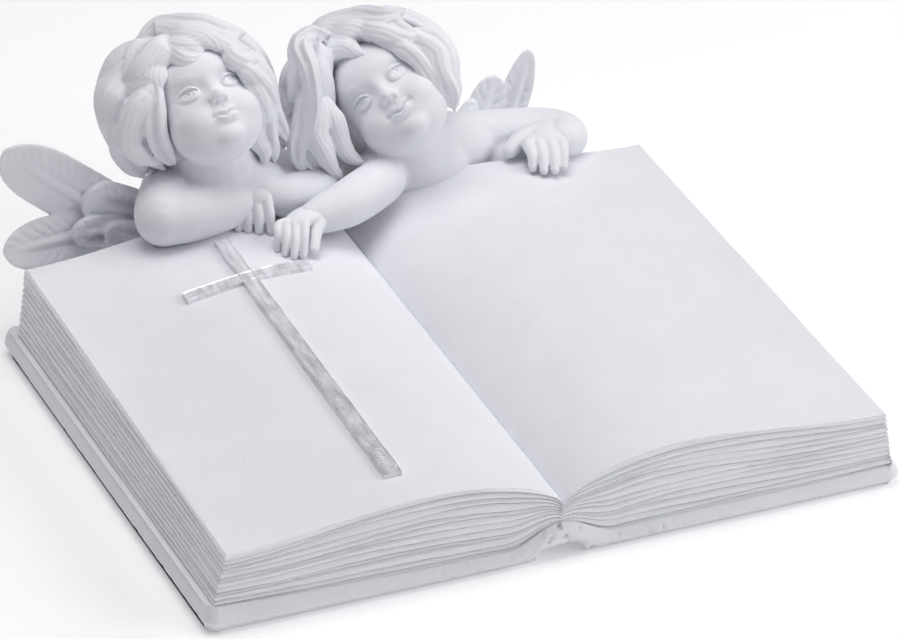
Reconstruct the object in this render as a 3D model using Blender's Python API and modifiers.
"""Grave ornament: an open book with a raised cross, and two winged cherubs leaning over its back edge.

The book lies flat.  +Z is up and the reader stands on the -Y side.  Sizes are named in
millimetres below and turned into metres by MM where the meshes are made.
"""
import math

import bmesh
import bpy
from mathutils import Matrix, Vector

MM = 0.001

# Book cover
COVER_WIDTH = 200.0
COVER_DEPTH = 164.7
COVER_THICKNESS = 4.5
COVER_CORNER_RADIUS = 4.0
COVER_CHAMFER = 1.0
COVER_RISE_LEFT = 2.8
COVER_RISE_RIGHT = 0.7
SPINE_HUMP_HEIGHT = 5.8
SPINE_HUMP_REACH = 16.0
CHANNEL_HALF_WIDTH = 7.0
CHANNEL_HEIGHT = 3.6

# Page block
PAGE_SIDE_MARGIN = 6.0
PAGE_FRONT_MARGIN = 0.65
PAGE_BACK_MARGIN = 6.35
PAGE_HALF_WIDTH = COVER_WIDTH / 2 - PAGE_SIDE_MARGIN
PAGE_FRONT = PAGE_FRONT_MARGIN - COVER_DEPTH / 2
PAGE_BACK = COVER_DEPTH / 2 - PAGE_BACK_MARGIN
PAGE_FLARE_SIDE = 3.5
PAGE_FLARE_END = -1.8
GUTTER_HEIGHT = 16.6
CREST_HEIGHT = 27.3
EDGE_HEIGHT = 22.7
CREST_REACH = 36.0
BACK_RISE_LEFT = 4.7
BACK_RISE_RIGHT = 6.8
GROOVE_COUNT = 6
GROOVE_DEPTH = 0.9
BLOCK_EMBED = 1.2

# Cross on the left page
CROSS_X = -42.0
CROSS_FRONT_MARGIN = 12.7
CROSS_BACK_MARGIN = 15.5
CROSS_BOTTOM = PAGE_FRONT + CROSS_FRONT_MARGIN
CROSS_TOP = PAGE_BACK - CROSS_BACK_MARGIN
CROSS_LEAN = 1.5
CROSS_WIDTH = 5.2
CROSS_HEAD = 21.0
CROSS_ARM_Y = CROSS_TOP - CROSS_HEAD
CROSS_ARM_LEFT = -60.5
CROSS_ARM_RIGHT = -22.5
CROSS_ARM_TILT = 3.0
CROSS_ARM_WIDTH = 4.6
CROSS_HEIGHT = 2.0
CROSS_GAP = 0.3

# Heads: one set of sizes for both cherubs, measured from the point between the ears
HAIR_CENTRE = (0.0, 4.5, 3.0)
HAIR_RADII = (22.0, 19.0, 21.5)
FACE_HALF_WIDTH = 12.6
FACE_DEPTH = 13.5
EYE_SPACING = 13.2
CHIN_DROP = 17.0

# Locks of hair: width, thickness and the angles round the head (turn, climb, lift) they pass
LOCKS = (
    (14.0, 8.0, ((-80, 64, 1.02), (-10, 80, 1.10), (36, 62, 1.16), (50, 38, 1.20), (60, 25, 1.34))),
    (12.0, 5.5, ((-17, 68, 0.98), (-6, 36, 1.02), (20, 22, 1.02), (34, 18, 1.00))),
    (9.0, 4.5, ((-20, 58, 0.95), (-8, 27, 0.98), (14, 18, 0.97))),
    (13.0, 8.0, ((10, 54, 0.96), (40, 38, 1.05), (62, 22, 1.12), (82, 6, 1.26))),
    (13.0, 8.0, ((26, 26, 0.95), (52, 6, 1.06), (76, -22, 1.12), (94, -54, 1.22))),
    (11.0, 7.0, ((44, 2, 0.92), (60, -24, 1.00), (82, -56, 1.10))),
    (15.0, 8.0, ((-24, 72, 0.96), (-52, 58, 1.06), (-80, 46, 1.15), (-100, 26, 1.26))),
    (11.0, 7.0, ((-22, 52, 0.94), (-38, 20, 0.99), (-72, 2, 1.10), (-86, -18, 1.10), (-112, -38, 1.16))),
    (10.0, 6.0, ((-38, 8, 0.90), (-56, -16, 0.96), (-92, -44, 1.06))),
    (16.0, 9.0, ((-75, 54, 1.00), (-97, 22, 1.18), (-106, -8, 1.26), (-114, -42, 1.30))),
    (14.0, 9.0, ((100, 60, 1.00), (98, 20, 1.06), (104, -20, 1.08), (108, -50, 1.12))),
)
BACK_LOCK_TURNS = (130, 156, 182, 208, 234)

# Cherubs: where each head sits and looks, and the joints of the body, in the book's frame
LEFT_HEAD = (-38.7, 80.0, 66.3)
LEFT_GAZE = (-0.100, -0.703, 0.704)
LEFT_CROWN = (-0.176, 0.709, 0.683)
RIGHT_HEAD = (17.6, 82.0, 56.8)
RIGHT_GAZE = (-0.443, -0.684, 0.580)
RIGHT_CROWN = (-0.417, 0.730, 0.541)

# The joints of both bodies are set against pages with this back edge and this crest
FIGURES_BACK_EDGE = 76.0
FIGURES_CREST = 27.3

FIGURE_VOXEL = 0.75
FIGURE_TRIANGLES = 7600

# Cutters reach this far past what they trim
TRIM_SPARE = 5.0
TRIM_HEIGHT = 40.0
GROUND_BLOCK = 400.0


def new_collection(name, hidden=False):
    collection = bpy.data.collections.new(name)
    bpy.context.scene.collection.children.link(collection)
    collection.hide_render = hidden
    return collection


def new_object(name, points, faces, collection):
    """A mesh from points in millimetres, its faces turned outward."""
    mesh = bpy.data.meshes.new(name)
    mesh.from_pydata([Vector(point) * MM for point in points], [], faces)
    shaped = bmesh.new()
    shaped.from_mesh(mesh)
    bmesh.ops.recalc_face_normals(shaped, faces=shaped.faces)
    shaped.to_mesh(mesh)
    shaped.free()
    obj = bpy.data.objects.new(name, mesh)
    collection.objects.link(obj)
    return obj


def new_material(name, color, roughness, metallic):
    material = bpy.data.materials.new(name)
    material.use_nodes = True
    shader = material.node_tree.nodes["Principled BSDF"]
    shader.inputs["Base Color"].default_value = (*color, 1.0)
    shader.inputs["Roughness"].default_value = roughness
    shader.inputs["Metallic"].default_value = metallic
    return material


def apply_modifiers(obj):
    evaluated = obj.evaluated_get(bpy.context.evaluated_depsgraph_get())
    mesh = bpy.data.meshes.new_from_object(evaluated)
    obj.modifiers.clear()
    obj.data = mesh


def combine(target, other, operation, solver="EXACT"):
    """Adds, cuts or keeps the shared part of two solids, then hides the second away as a cutter."""
    boolean = target.modifiers.new(operation.lower(), "BOOLEAN")
    boolean.operation = operation
    boolean.solver = solver
    boolean.object = other
    apply_modifiers(target)
    other.hide_render = True
    other.display_type = "WIRE"


def join(objects, name, collection):
    """Puts several meshes into one object without merging their surfaces."""
    joined = bmesh.new()
    for obj in objects:
        joined.from_mesh(obj.data)
        bpy.data.objects.remove(obj)
    mesh = bpy.data.meshes.new(name)
    joined.to_mesh(mesh)
    joined.free()
    result = bpy.data.objects.new(name, mesh)
    collection.objects.link(result)
    return result


def signed_volume(faces):
    """Volume inside a closed skin, negative where the skin encloses a pocket."""
    volume = 0.0
    for face in faces:
        first, *others = [loop.vert.co for loop in face.loops]
        for second, third in zip(others, others[1:]):
            volume += first.dot(second.cross(third)) / 6
    return volume


def fill_pockets(obj):
    """Deletes the skin of any pocket sealed inside, as the resin fills it."""
    shaped = bmesh.new()
    shaped.from_mesh(obj.data)
    waiting = set(shaped.faces)
    while waiting:
        growing = [waiting.pop()]
        skin = []
        while growing:
            face = growing.pop()
            skin.append(face)
            found = {other for edge in face.edges for other in edge.link_faces} & waiting
            waiting -= found
            growing.extend(found)
        if signed_volume(skin) < 0:
            bmesh.ops.delete(shaped, geom=skin, context="FACES")
    shaped.to_mesh(obj.data)
    shaped.free()


# Book


def cover_top(x):
    """Height of the board under the pages, with the raised spine in the middle."""
    side = COVER_RISE_LEFT if x < 0 else COVER_RISE_RIGHT
    height = COVER_THICKNESS + side * (abs(x) / PAGE_HALF_WIDTH) ** 2
    if abs(x) < SPINE_HUMP_REACH:
        height += SPINE_HUMP_HEIGHT * (1 + math.cos(math.pi * x / SPINE_HUMP_REACH)) / 2
    return height


def page_top(x, y):
    """Height of the open pages: a soft crest each side of the gutter, rising to the back."""
    reach = abs(x)
    if reach < CREST_REACH:
        swell = math.sin(math.pi / 2 * reach / CREST_REACH) ** 0.6
        height = GUTTER_HEIGHT + (CREST_HEIGHT - GUTTER_HEIGHT) * swell
    else:
        fall = (reach - CREST_REACH) / (PAGE_HALF_WIDTH - CREST_REACH)
        height = EDGE_HEIGHT + (CREST_HEIGHT - EDGE_HEIGHT) * (1 + math.cos(math.pi * min(fall, 1.0))) / 2
    middle = (BACK_RISE_LEFT + BACK_RISE_RIGHT) / 2
    rise = middle + (BACK_RISE_RIGHT - BACK_RISE_LEFT) / 2 * x / PAGE_HALF_WIDTH
    return height + rise * (y - PAGE_FRONT) / (PAGE_BACK - PAGE_FRONT)


def page_stations():
    """Places across the spread, close together where the page bends most."""
    inner = [CREST_REACH * share for share in (0.0, 0.07, 0.17, 0.31, 0.5, 0.75)]
    outer = [CREST_REACH + (PAGE_HALF_WIDTH - CREST_REACH) * share for share in (0.07, 0.33, 0.62, 0.86, 1.0)]
    half = inner + outer
    return [-x for x in reversed(half[1:])] + half


def page_skin(x, y):
    """Height of the flat-sided page surface, as the stations shape it."""
    stations = page_stations()
    for left, right in zip(stations, stations[1:]):
        if left <= x <= right:
            share = (x - left) / (right - left)
            return page_top(left, y) * (1 - share) + page_top(right, y) * share
    return page_top(x, y)


def build_cover(collection, cutters):
    """The board with its spine, drawn out from one outline and trimmed to its plan."""
    half = COVER_WIDTH / 2 + TRIM_SPARE
    hump = [SPINE_HUMP_REACH * share for share in (1.0, 0.75, 0.5, 0.25)]
    right = [half, PAGE_HALF_WIDTH * 0.85, PAGE_HALF_WIDTH * 0.53] + hump
    across = right + [0.0] + [-x for x in reversed(right)]
    arch = []
    for step in range(7):
        turn = math.pi * step / 6
        arch.append((-CHANNEL_HALF_WIDTH * math.cos(turn), CHANNEL_HEIGHT * math.sin(turn) ** 0.7))
    outline = [(x, cover_top(x)) for x in across] + [(-half, 0.0)] + arch + [(half, 0.0)]
    cover = drawn_outline("cover", outline, COVER_DEPTH + 2 * TRIM_SPARE, collection)
    combine(cover, plan_block("cover_trim", cutters), "INTERSECT")
    return cover


def drawn_outline(name, outline, depth, collection):
    """A flat outline of x and z, filled and drawn out along y."""
    curve = bpy.data.curves.new(name, "CURVE")
    curve.dimensions = "2D"
    curve.fill_mode = "BOTH"
    curve.extrude = depth / 2 * MM
    spline = curve.splines.new("POLY")
    spline.points.add(len(outline) - 1)
    spline.use_cyclic_u = True
    for point, (x, z) in zip(spline.points, outline):
        point.co = (x * MM, z * MM, 0.0, 1.0)
    upright = Matrix.Rotation(math.pi / 2, 4, "X")
    return mesh_of_curve(name, curve, collection, upright)


def mesh_of_curve(name, curve, collection, place):
    """The mesh that a curve makes, welded shut and put in its place."""
    route = bpy.data.objects.new(name, curve)
    collection.objects.link(route)
    evaluated = route.evaluated_get(bpy.context.evaluated_depsgraph_get())
    mesh = bpy.data.meshes.new_from_object(evaluated)
    bpy.data.objects.remove(route)
    shaped = bmesh.new()
    shaped.from_mesh(mesh)
    bmesh.ops.transform(shaped, matrix=place, verts=shaped.verts)
    bmesh.ops.remove_doubles(shaped, verts=shaped.verts, dist=0.001 * MM)
    bmesh.ops.recalc_face_normals(shaped, faces=shaped.faces)
    shaped.to_mesh(mesh)
    shaped.free()
    obj = bpy.data.objects.new(name, mesh)
    collection.objects.link(obj)
    return obj


def block(name, centre, size, collection):
    """A box as an object of its own, from a cube."""
    shaped = bmesh.new()
    place = Matrix.Translation(Vector(centre) * MM) @ Matrix.Diagonal((*[s * MM for s in size], 1.0))
    bmesh.ops.create_cube(shaped, size=1.0, matrix=place)
    mesh = bpy.data.meshes.new(name)
    shaped.to_mesh(mesh)
    shaped.free()
    obj = bpy.data.objects.new(name, mesh)
    collection.objects.link(obj)
    return obj


def plan_block(name, collection):
    """A block with the cover's plan, round at its upright corners and chamfered along its foot."""
    obj = block(name, (0, 0, TRIM_HEIGHT / 2), (COVER_WIDTH, COVER_DEPTH, TRIM_HEIGHT), collection)
    shaped = bmesh.new()
    shaped.from_mesh(obj.data)
    upright = [edge for edge in shaped.edges if abs(edge.verts[0].co.z - edge.verts[1].co.z) > MM]
    bmesh.ops.bevel(shaped, geom=upright, offset=COVER_CORNER_RADIUS * MM, segments=4, profile=0.5,
                    affect="EDGES")
    foot = [edge for edge in shaped.edges if max(vertex.co.z for vertex in edge.verts) < 0.5 * MM]
    bmesh.ops.bevel(shaped, geom=foot, offset=COVER_CHAMFER * MM, segments=1, profile=0.5, affect="EDGES")
    shaped.to_mesh(obj.data)
    shaped.free()
    return obj


def build_pages(collection):
    """The page block: a grid over the top, ledged sides for the page edges and a grid below."""
    across = page_stations()
    along = [PAGE_FRONT + (PAGE_BACK - PAGE_FRONT) * step / 4 for step in range(5)]
    columns, rows = len(across), len(along)
    rim = [(i, 0) for i in range(columns)] + [(columns - 1, j) for j in range(1, rows)]
    rim += [(i, rows - 1) for i in range(columns - 2, -1, -1)] + [(0, j) for j in range(rows - 2, 0, -1)]
    levels = 2 * GROOVE_COUNT + 1
    points = []
    index = {}

    def place(i, j, level):
        key = (i, j, level)
        if key not in index:
            x, y = across[i], along[j]
            share = level / levels
            low = cover_top(x) - BLOCK_EMBED
            z = low + (page_top(x, y) - low) * share
            sunk = GROOVE_DEPTH if level % 2 == 0 and 0 < level < levels else 0.0
            side = (i == columns - 1) - (i == 0)
            end = (j == rows - 1) - (j == 0)
            x += side * (PAGE_FLARE_SIDE * (1 - share) - sunk)
            y += end * (PAGE_FLARE_END * (1 - share) - sunk)
            index[key] = len(points)
            points.append((x, y, z))
        return index[key]

    faces = []
    for level in range(levels):
        for here, following in zip(rim, rim[1:] + rim[:1]):
            faces.append((place(*here, level), place(*following, level),
                          place(*following, level + 1), place(*here, level + 1)))
    for i in range(columns - 1):
        for j in range(rows - 1):
            for level in (0, levels):
                corners = ((i, j), (i + 1, j), (i + 1, j + 1), (i, j + 1))
                faces.append(tuple(place(a, b, level) for a, b in corners))
    return new_object("pages", points, faces, collection)


def build_cross(collection):
    """Two flat bars laid on the left page, following its curve, joined into one piece."""
    bars = []
    stem = []
    for step in range(9):
        y = CROSS_BOTTOM + (CROSS_TOP - CROSS_BOTTOM) * step / 8
        x = CROSS_X - CROSS_LEAN / 2 + CROSS_LEAN * step / 8
        width = CROSS_WIDTH * (1.0 - 0.15 * step / 8)
        stem.append(((x - width / 2, y), (x + width / 2, y)))
    bars.append(stem)
    arm = []
    bends = [x for x in page_stations() if CROSS_ARM_LEFT < x < CROSS_ARM_RIGHT]
    for x in [CROSS_ARM_LEFT] + bends + [CROSS_ARM_RIGHT]:
        y = CROSS_ARM_Y + CROSS_ARM_TILT * (x - CROSS_X) / (CROSS_ARM_RIGHT - CROSS_ARM_LEFT)
        arm.append(((x, y + CROSS_ARM_WIDTH / 2), (x, y - CROSS_ARM_WIDTH / 2)))
    bars.append(arm)
    solids = []
    for number, bar in enumerate(bars):
        points = []
        for left, right in bar:
            for x, y in (left, right):
                points.append((x, y, page_skin(x, y) + CROSS_GAP))
                points.append((x, y, page_skin(x, y) + CROSS_GAP + CROSS_HEIGHT))
        faces = [(0, 1, 3, 2)]
        last = 4 * (len(bar) - 1)
        faces.append((last, last + 2, last + 3, last + 1))
        for i in range(len(bar) - 1):
            a, b = 4 * i, 4 * i + 4
            faces += [(a, a + 2, b + 2, b), (a + 1, b + 1, b + 3, a + 3)]
            faces += [(a, b, b + 1, a + 1), (a + 2, a + 3, b + 3, b + 2)]
        solids.append(new_object("cross" if number == 0 else "cross_arm", points, faces, collection))
    combine(solids[0], solids[1], "UNION")
    bpy.data.objects.remove(solids[1])
    return solids[0]


# Figures


def smooth_path(points, steps):
    """A curve through the given points (Catmull-Rom), as a list of tuples of any length."""
    padded = [points[0]] + list(points) + [points[-1]]
    path = []
    for i in range(1, len(padded) - 2):
        p0, p1, p2, p3 = padded[i - 1:i + 3]
        for step in range(steps):
            t = step / steps
            path.append(tuple(
                0.5 * (2 * b + (c - a) * t + (2 * a - 5 * b + 4 * c - d) * t ** 2
                       + (3 * b - a - 3 * c + d) * t ** 3) for a, b, c, d in zip(p0, p1, p2, p3)))
    path.append(tuple(points[-1]))
    return path


def loft(name, stations, collection, sides=12, ridge=0.0, ridges=0):
    """A closed skin over stations of centre, side vector, normal vector, half width and half depth."""
    points = [stations[0][0]]
    for centre, side, normal, half_width, half_depth in stations:
        for i in range(sides):
            turn = 2 * math.pi * i / sides
            grow = 1.0 + ridge * math.cos(ridges * turn)
            points.append(centre + side * (half_width * grow * math.cos(turn))
                          + normal * (half_depth * grow * math.sin(turn)))
    points.append(stations[-1][0])
    tip = len(points) - 1
    faces = [(0, 1 + (i + 1) % sides, 1 + i) for i in range(sides)]
    for ring in range(len(stations) - 1):
        a = 1 + ring * sides
        for i in range(sides):
            j = (i + 1) % sides
            faces.append((a + i, a + j, a + sides + j, a + sides + i))
    last = 1 + (len(stations) - 1) * sides
    faces += [(last + i, last + (i + 1) % sides, tip) for i in range(sides)]
    return new_object(name, points, faces, collection)


def limb(name, joints, collection):
    """A round limb: a bevelled curve through joints of x, y, z and radius, with a ball on each end."""
    curve = bpy.data.curves.new(name, "CURVE")
    curve.dimensions = "3D"
    curve.bevel_depth = MM
    curve.bevel_resolution = 3
    curve.use_fill_caps = True
    path = smooth_path(joints, 4)
    spline = curve.splines.new("POLY")
    spline.points.add(len(path) - 1)
    for point, (x, y, z, radius) in zip(spline.points, path):
        point.co = (x * MM, y * MM, z * MM, 1.0)
        point.radius = radius
    obj = mesh_of_curve(name, curve, collection, Matrix.Identity(4))
    shaped = bmesh.new()
    shaped.from_mesh(obj.data)
    for x, y, z, radius in (joints[0], joints[-1]):
        place = Matrix.Translation(Vector((x, y, z)) * MM)
        bmesh.ops.create_uvsphere(shaped, u_segments=12, v_segments=8, radius=radius * MM, matrix=place)
    shaped.to_mesh(obj.data)
    shaped.free()
    return obj


def ellipsoid(name, centre, radii, collection, axes=None):
    """An egg shape; axes turns it, rows being its own x, y and z."""
    shaped = bmesh.new()
    turn = axes.to_4x4() if axes else Matrix.Identity(4)
    place = Matrix.Translation(Vector(centre) * MM) @ turn @ Matrix.Diagonal((*[r * MM for r in radii], 1.0))
    bmesh.ops.create_uvsphere(shaped, u_segments=24, v_segments=14, radius=1.0, matrix=place)
    mesh = bpy.data.meshes.new(name)
    shaped.to_mesh(mesh)
    shaped.free()
    obj = bpy.data.objects.new(name, mesh)
    collection.objects.link(obj)
    return obj


def head_axes(gaze, crown):
    """Columns: the viewer's right, into the head, and up through the crown."""
    back = -Vector(gaze).normalized()
    up = Vector(crown)
    up = (up - back * up.dot(back)).normalized()
    return Matrix((back.cross(up), back, up)).transposed()


def build_head(name, centre, axes, collection):
    """Skull, soft face and hair, all placed from the head's own centre and axes."""
    origin = Vector(centre)
    parts = []

    def egg(label, place, radii):
        parts.append(ellipsoid(name + label, origin + axes @ Vector(place), radii, collection, axes))

    egg("_skull", (0, 1.5, 3.0), (FACE_HALF_WIDTH + 0.8, 15.0, 15.5))
    egg("_forehead", (0, -3.2, 5.4), (FACE_HALF_WIDTH - 0.8, 10.4, 9.8))
    egg("_face", (0, -2.2, -3.2), (FACE_HALF_WIDTH + 0.4, 11.0, 12.6))
    egg("_jaw", (0, -2.5, -CHIN_DROP + 9.8), (FACE_HALF_WIDTH + 1.1, 10.6, 11.6))
    for side in (-1, 1):
        egg("_cheek", (side * 5.2, -5.2, -6.6), (7.8, 7.7, 6.8))
        egg("_brow", (side * EYE_SPACING / 2, -11.4, 2.9), (4.2, 1.8, 1.5))
        egg("_eye", (side * EYE_SPACING / 2, -10.2, -0.2), (3.1, 3.0, 2.3))
        egg("_nostril", (side * 1.7, -FACE_DEPTH - 0.4, -5.0), (1.3, 1.6, 1.2))
    egg("_chin", (0, -9.0, -CHIN_DROP + 3.6), (4.8, 3.9, 3.6))
    egg("_nose", (0, -FACE_DEPTH - 0.9, -4.3), (1.9, 2.4, 1.8))
    egg("_bridge", (0, -FACE_DEPTH + 1.2, -1.8), (1.6, 2.2, 3.8))
    egg("_upper_lip", (0, -FACE_DEPTH - 0.2, -8.7), (3.2, 1.5, 0.9))
    egg("_lower_lip", (0, -FACE_DEPTH + 0.1, -10.6), (2.5, 1.5, 1.0))
    egg("_hair", (0, 7.5, 3.5), (20.4, 15.4, 19.8))
    parts += build_hair(name, origin, axes, collection)
    return parts


def hair_point(origin, axes, turn, climb, lift):
    turn, climb = math.radians(turn), math.radians(climb)
    outward = Vector((math.sin(turn) * math.cos(climb), -math.cos(turn) * math.cos(climb), math.sin(climb)))
    shell = Vector([c + r * lift * o for c, r, o in zip(HAIR_CENTRE, HAIR_RADII, outward)])
    return origin + axes @ shell, axes @ outward


def build_hair(name, origin, axes, collection):
    """Wavy pointed locks over the hair shell, then a plain fall of locks down the back."""
    locks = list(LOCKS)
    for turn in BACK_LOCK_TURNS:
        sway = 6.0 * math.sin(turn)
        route = ((turn, 74, 0.96), (turn + sway, 36, 1.05), (turn - sway, 4, 1.04), (turn, -34, 0.98))
        locks.append((14.0, 8.0, route))
    parts = []
    for width, depth, route in locks:
        path = smooth_path(route, 5)
        spots = [hair_point(origin, axes, *step) for step in path]
        stations = []
        for i, (spot, outward) in enumerate(spots):
            share = i / (len(spots) - 1)
            along = (spots[min(i + 1, len(spots) - 1)][0] - spots[max(i - 1, 0)][0]).normalized()
            side = along.cross(outward).normalized()
            taper = math.sin(math.pi * (0.28 + 0.72 * share)) ** 0.75 if share < 1 else 0.0
            taper = max(taper, 0.16)
            stations.append((spot - outward * depth * 0.25, side, side.cross(along), width / 2 * taper,
                             depth / 2 * taper))
        parts.append(loft(name + "_lock", stations, collection, 14, 0.10, 3))
    return parts


def feather(name, root, tip, width, thickness, face, collection):
    """A flat feather with a round tip and a raised quill, facing the given way."""
    root, tip, face = Vector(root), Vector(tip), Vector(face)
    along = (tip - root).normalized()
    normal = (face - along * face.dot(along)).normalized()
    side = along.cross(normal)
    stations = []
    for share in (0.0, 0.15, 0.35, 0.55, 0.75, 0.88, 0.95, 0.99):
        swell = (0.55 + 0.45 * math.sin(math.pi / 2 * min(share / 0.7, 1.0))) if share < 0.75 else math.sqrt(
            max(1 - ((share - 0.75) / 0.25) ** 2, 0.02))
        stations.append((root.lerp(tip, share), side, normal, width / 2 * swell,
                         thickness / 2 * (0.6 + 0.4 * swell)))
    raised = normal * thickness * 0.35
    quill = [(*root.lerp(tip, share) + raised, 1.3 - 0.9 * share) for share in (0.0, 0.45, 0.85)]
    return [loft(name, stations, collection, 16), limb(name + "_quill", quill, collection)]


def hand(name, wrist, knuckles, tips, radius, lift, collection):
    """A palm from the wrist to a row of knuckles, with fingers bent down to their tips."""
    first, last = Vector(knuckles[0]), Vector(knuckles[1])
    parts = []
    for i, tip in enumerate(tips):
        share = i / (len(tips) - 1)
        knuckle = first.lerp(last, share)
        middle = knuckle.lerp(Vector(tip), 0.5) + Vector(lift)
        joints = ((*wrist, radius * 2.1), (*knuckle, radius * 1.2), (*middle, radius), (*tip, radius * 0.9))
        parts.append(limb(name + "_finger", joints, collection))
    return parts


def build_left_cherub(collection):
    axes = head_axes(LEFT_GAZE, LEFT_CROWN)
    parts = build_head("left", LEFT_HEAD, axes, collection)

    def bar(label, *joints):
        parts.append(limb("left_" + label, joints, collection))

    def egg(label, centre, radii):
        parts.append(ellipsoid("left_" + label, centre, radii, collection))

    def plume(label, root, tip, width, thickness, face):
        parts.extend(feather("left_" + label, root, tip, width, thickness, face, collection))

    bar("neck", (-38, 78, 56, 10.0), (-36, 79.5, 47, 12.5), (-33, 86, 36, 14.0))
    egg("chest", (-32, 88, 32), (20, 12, 14))
    egg("breast", (-35, 80.5, 38), (17, 9.5, 10))
    egg("back", (-34, 99, 24), (18, 14, 22))
    egg("hip", (-34, 101, 8), (20, 15, 12))
    for x in (-46, -22):
        bar("shin", (x, 100, 6, 8.0), (x + 1, 110, 5, 6.5), (x + 3, 114, 4, 4.5))
    bar("upper_arm", (-46, 83, 39.5, 8.6), (-50.5, 77, 39.5, 9.2), (-54.5, 70, 39, 8.8))
    bar("forearm", (-54.5, 69.5, 38.4, 8.2), (-47, 69.5, 38, 8.2), (-39, 69.5, 37.8, 7.4), (-32, 70.5, 38, 5.8),
        (-27, 72, 37, 4.2))
    bar("far_arm", (-20, 86, 38, 9.0), (-9, 78, 34.5, 8.4), (-9, 73.5, 34.5, 8.4), (-17, 71.5, 37, 6.6),
        (-23, 71, 39.2, 5.2))
    tips = ((-36.2, 66.6, 33), (-33, 65.2, 32.8), (-29.9, 63.6, 32.8), (-26.6, 62.8, 32.8))
    knuckles = ((-34.8, 69.8, 38.4), (-24.6, 68, 39.6))
    parts += hand("left", (-22.5, 71.5, 40.4), knuckles, tips, 1.5, (0.2, -0.9, 1.0), collection)
    facing = (0.05, -1, 0.35)
    plume("wing_top", (-52, 92, 30), (-96.5, 86, 56), 17.0, 4.2, facing)
    plume("wing_low", (-54, 90, 27), (-97.5, 85, 31.5), 14.0, 4.2, facing)
    plume("covert_top", (-50, 90, 33), (-72.5, 84.5, 40), 12.5, 5.5, facing)
    plume("covert_low", (-54, 87, 26), (-76, 82.5, 29.5), 9.5, 5.5, facing)
    plume("covert_near", (-50, 86, 31), (-66, 82, 33.5), 8.5, 5.5, facing)
    plume("inner_wing", (-24, 98, 28), (-2, 110, 45), 15.0, 4.5, (0.2, -1, 0.1))
    return parts


def build_right_cherub(collection):
    axes = head_axes(RIGHT_GAZE, RIGHT_CROWN)
    parts = build_head("right", RIGHT_HEAD, axes, collection)

    def bar(label, *joints):
        parts.append(limb("right_" + label, joints, collection))

    def egg(label, centre, radii):
        parts.append(ellipsoid("right_" + label, centre, radii, collection))

    def plume(label, root, tip, width, thickness, face):
        parts.extend(feather("right_" + label, root, tip, width, thickness, face, collection))

    bar("neck", (19.5, 77, 48, 10.5), (23, 80, 41, 12.0), (30, 87, 34, 13.0))
    egg("chest", (33, 88, 31), (21, 12, 14))
    egg("breast", (25, 79.5, 34), (16, 10, 9))
    egg("shoulder", (38, 85, 34), (14, 9, 8.5))
    egg("back", (31, 99, 22), (18, 13, 21))
    egg("hip", (31, 100, 8), (20, 15, 12))
    for x in (19, 43):
        bar("shin", (x, 100, 6, 8.0), (x - 1, 110, 5, 6.5), (x - 3, 114, 4, 4.5))
    bar("upper_arm", (18, 83, 34.5, 8.4), (13, 76, 35.8, 7.6), (10.5, 69.5, 37.2, 7.0))
    bar("forearm", (10.5, 69, 37.4, 6.8), (3, 64, 37.4, 7.0), (-4, 60, 37.2, 6.7), (-11, 58, 36.8, 5.7),
        (-15, 57.2, 36.4, 4.8))
    tips = ((-28.4, 50.4, 32.4), (-26.6, 47.8, 32.2), (-24.4, 46, 32), (-21.9, 45.4, 32))
    knuckles = ((-24.6, 56.6, 36.2), (-17.8, 54, 36.4))
    parts += hand("right", (-14, 57.4, 37), knuckles, tips, 1.4, (-0.2, -0.8, 0.9), collection)
    bar("thumb", (-12, 56, 36, 3.0), (-15.4, 51.4, 35, 2.2), (-18.6, 46.6, 32.6, 1.6))
    bar("palm", (-9, 56, 35.6, 3.6), (-11.6, 51.6, 33.8, 2.9))
    bar("far_arm", (43, 90, 36.5, 8.8), (56, 88.5, 36.5, 8.4), (68, 85.5, 37, 7.4), (71.5, 78.5, 37.8, 6.6),
        (69, 75, 37.5, 5.5))
    tips = ((56.4, 65.6, 34), (58.6, 63.2, 33.8), (61.8, 62.4, 33.8), (65, 63.6, 33.8))
    knuckles = ((58.2, 74.4, 38.6), (67.4, 71, 38.8))
    parts += hand("right_far", (69, 78, 39.2), knuckles, tips, 1.6, (0, -0.9, 1.2), collection)
    bar("far_thumb", (63, 78.5, 38.6, 3.0), (57, 77.6, 38.4, 2.5), (52.2, 74.4, 36.6, 1.9))
    facing = (0.45, -0.85, 0.15)
    plume("wing_top", (50, 98, 22), (69.8, 100.5, 53.6), 10.0, 3.6, facing)
    plume("wing_middle", (44, 98, 24), (60.2, 100.5, 47), 11.0, 3.6, facing)
    plume("wing_low", (40, 97, 28), (51.5, 98.5, 41), 8.0, 3.6, facing)
    plume("inner_wing", (20, 100, 26), (4, 113, 40), 15.0, 4.5, (-0.2, -1, 0.1))
    return parts


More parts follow.
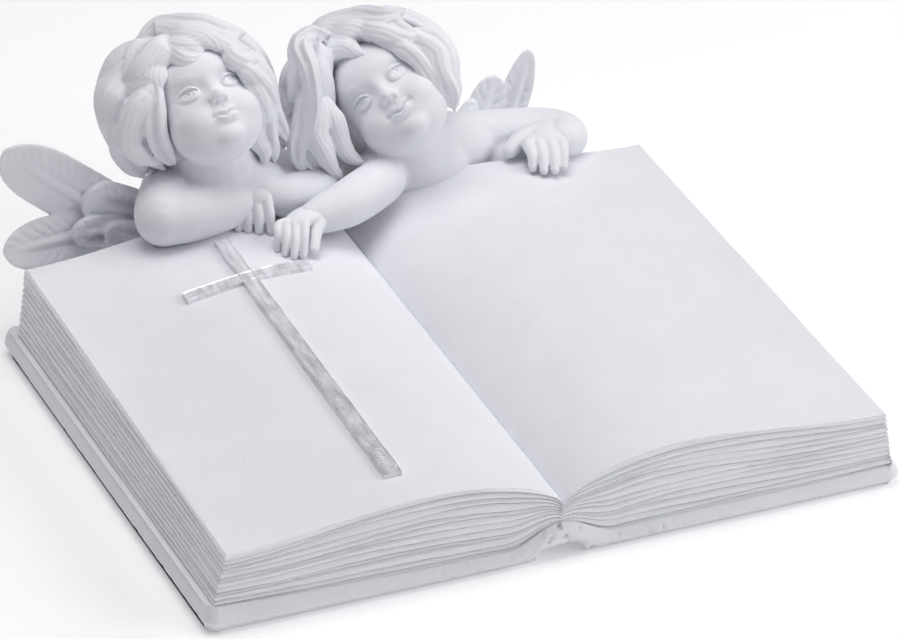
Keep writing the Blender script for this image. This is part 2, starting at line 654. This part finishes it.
def build_figures(collection, cutters):
    """Melts all the parts of both cherubs into one skin, trims it flat below and thins it out."""
    parts = build_left_cherub(collection) + build_right_cherub(collection)
    figures = join(parts, "cherubs", collection)
    remesh = figures.modifiers.new("melt", "REMESH")
    remesh.mode = "VOXEL"
    remesh.voxel_size = FIGURE_VOXEL * MM
    smooth = figures.modifiers.new("soften", "SMOOTH")
    smooth.factor = 0.5
    smooth.iterations = 2
    apply_modifiers(figures)
    decimate = figures.modifiers.new("thin", "DECIMATE")
    decimate.ratio = FIGURE_TRIANGLES / sum(len(face.vertices) - 2 for face in figures.data.polygons)
    decimate.use_collapse_triangulate = True
    apply_modifiers(figures)
    leaning = Matrix.Translation(Vector((0.0, PAGE_BACK - FIGURES_BACK_EDGE, CREST_HEIGHT - FIGURES_CREST)) * MM)
    figures.data.transform(leaning)
    ground = block("ground", (0, 0, -GROUND_BLOCK / 2), (GROUND_BLOCK,) * 3, cutters)
    combine(figures, ground, "DIFFERENCE")
    return figures


def centre_on_floor(objects):
    """Moves everything so that the origin is the bottom centre of the whole."""
    corners = [vertex.co for obj in objects for vertex in obj.data.vertices]
    low = Vector([min(c[i] for c in corners) for i in range(3)])
    high = Vector([max(c[i] for c in corners) for i in range(3)])
    shift = Matrix.Translation((-(low.x + high.x) / 2, -(low.y + high.y) / 2, -low.z))
    for obj in objects:
        obj.data.transform(shift)


def build():
    for obj in list(bpy.data.objects):
        bpy.data.objects.remove(obj)
    ornament = new_collection("angel_grave_statue")
    cutters = new_collection("cutters", hidden=True)
    resin = new_material("white_resin", (0.86, 0.86, 0.87), 0.62, 0.0)
    silver = new_material("silver_paint", (0.62, 0.63, 0.65), 0.35, 1.0)

    statue = build_cover(ornament, cutters)
    statue.name = "statue"
    pages = build_pages(cutters)
    combine(statue, pages, "UNION")
    figures = build_figures(cutters, cutters)
    combine(statue, figures, "UNION")
    fill_pockets(statue)
    statue.data.materials.clear()
    statue.data.materials.append(resin)

    cross = build_cross(ornament)
    cross.data.materials.clear()
    cross.data.materials.append(silver)
    centre_on_floor((statue, cross))


build()
